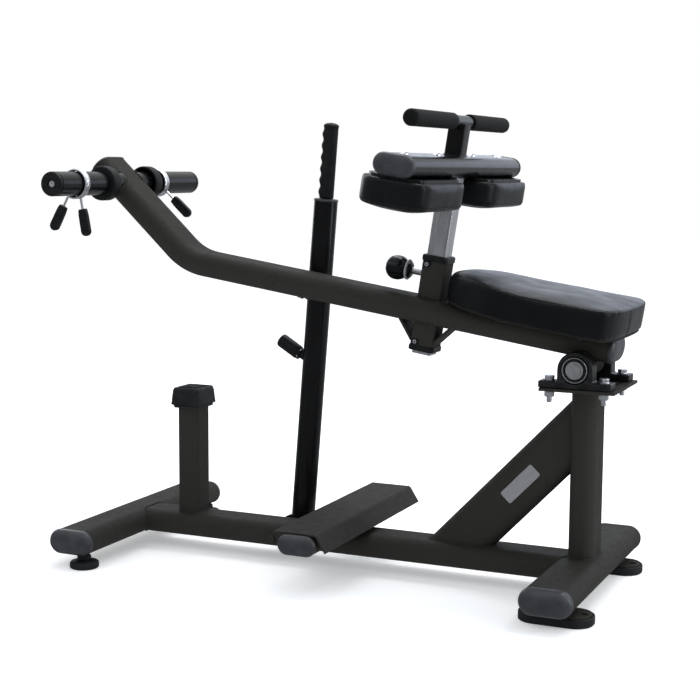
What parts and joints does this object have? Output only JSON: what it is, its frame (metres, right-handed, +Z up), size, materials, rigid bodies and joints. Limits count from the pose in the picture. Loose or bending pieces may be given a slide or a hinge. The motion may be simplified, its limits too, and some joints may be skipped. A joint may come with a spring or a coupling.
{
  "type": "seated calf raise machine",
  "caption": "Plate-loaded seated calf raise with a rocking lever, knee pads on an adjustable post, padded seat, foot plate and a safety catch lever.",
  "frame": {"origin": "on the floor, at the centre of the four floor-bolt slots of the rear feet", "axes": "+X along the machine towards the seat end, +Y across it towards the safety catch, +Z up"},
  "size_m": [1.1928, 0.64, 0.9311],
  "materials": {
    "frame_paint": "fine-textured matte powder coat",
    "gloss_paint": "smooth gloss paint",
    "end_cap_plastic": "semi-gloss moulded plastic",
    "black_plastic": "satin moulded plastic",
    "foot_rubber": "dull moulded rubber",
    "grip_foam": "soft foam sleeve",
    "leatherette": "smooth glossy leatherette",
    "seat_plywood": "black-stained plywood",
    "zinc_steel": "bright zinc plate",
    "brushed_post": "brushed bright steel",
    "bright_chrome": "polished chrome",
    "badge_metal": "satin metal"
  },
  "bodies": {
    "frame": {"main_rail": "frame_paint", "front_foot_tube": "frame_paint", "rear_foot_tube": "frame_paint", "foot_end_caps": "end_cap_plastic", "rear_upright": "frame_paint", "brace_tube": "frame_paint", "badge_plate": "badge_metal", "stop_post": "frame_paint", "stop_bumper": "foot_rubber", "footrest_bar": "frame_paint", "footrest_plate": "frame_paint", "footrest_bar_caps": "end_cap_plastic", "bearing_plate": "frame_paint", "bearing_housings": "gloss_paint", "bearing_bolts": "zinc_steel", "rear_foot_flanges": "frame_paint", "rear_rubber_feet": "foot_rubber", "catch_pivot_bolt": "frame_paint"},
    "lever": {"lever_tube": "frame_paint", "lever_end_caps": "end_cap_plastic", "pivot_hub": "frame_paint", "pivot_shaft": "zinc_steel", "bearing_inner_rings": "zinc_steel", "post_socket": "frame_paint", "post_bushings": "black_plastic", "button_screws": "zinc_steel", "socket_gussets": "frame_paint", "pin_housing": "bright_chrome", "weight_sleeves": "gloss_paint", "weight_flanges": "black_plastic", "sleeve_end_caps": "black_plastic", "catch_pin": "frame_paint", "seat_straps": "frame_paint", "seat_bolts": "zinc_steel", "seat_board": "seat_plywood", "seat_cushion": "leatherette"},
    "knee_pad_carriage": {"pad_post": "brushed_post", "pad_crossbar": "gloss_paint", "crossbar_caps": "end_cap_plastic", "pad_bolts": "zinc_steel", "knee_boards": "black_plastic", "knee_cushion_left": "leatherette", "knee_cushion_right": "leatherette", "handle_post": "gloss_paint", "handle_bar": "gloss_paint", "handle_grips": "grip_foam"},
    "pull_pin": {"pull_pin_rod": "zinc_steel", "pull_pin_knob": "black_plastic"},
    "safety_catch": {"catch_tube": "gloss_paint", "catch_tube_cap": "end_cap_plastic", "catch_rod": "gloss_paint", "catch_grip": "foot_rubber", "catch_peg_covers": "foot_rubber"},
    "collar_left": {"collar_spring_left": "bright_chrome", "collar_handles_left": "black_plastic"},
    "collar_right": {"collar_spring_right": "bright_chrome", "collar_handles_right": "black_plastic"},
    "levelling_foot_left": {"levelling_foot_left": "foot_rubber"},
    "levelling_foot_right": {"levelling_foot_right": "foot_rubber"}
  },
  "joints": [
    {"name": "lever_pivot", "type": "hinge", "parent": "frame", "child": "lever", "pos_m": [-0.005, 0, 0.451], "axis": [0, 1, 0], "range_deg": [0, 6]},
    {"name": "pad_post_slide", "type": "slide", "parent": "lever", "child": "knee_pad_carriage", "axis": [0.1509, 0, 0.9885], "range_m": [-0.075, 0.05]},
    {"name": "pull_pin_draw", "type": "slide", "parent": "lever", "child": "pull_pin", "axis": [-0.9885, 0, 0.1509], "range_m": [0, 0.012], "stiffness_N_per_m": 900, "springref_m": -0.005},
    {"name": "catch_pivot", "type": "hinge", "parent": "frame", "child": "safety_catch", "pos_m": [-0.662, 0.08, 0.049], "axis": [0, 1, 0], "range_deg": [0, 12]},
    {"name": "collar_left_slide", "type": "slide", "parent": "lever", "child": "collar_left", "axis": [0, -1, 0], "range_m": [-0.065, 0.12]},
    {"name": "collar_right_slide", "type": "slide", "parent": "lever", "child": "collar_right", "axis": [0, 1, 0], "range_m": [-0.015, 0.18]},
    {"name": "levelling_left_turn", "type": "hinge", "parent": "frame", "child": "levelling_foot_left", "pos_m": [-0.989, -0.256, 0], "axis": [0, 0, 1], "continuous": true},
    {"name": "levelling_right_turn", "type": "hinge", "parent": "frame", "child": "levelling_foot_right", "pos_m": [-0.989, 0.256, 0], "axis": [0, 0, 1], "continuous": true}
  ]
}
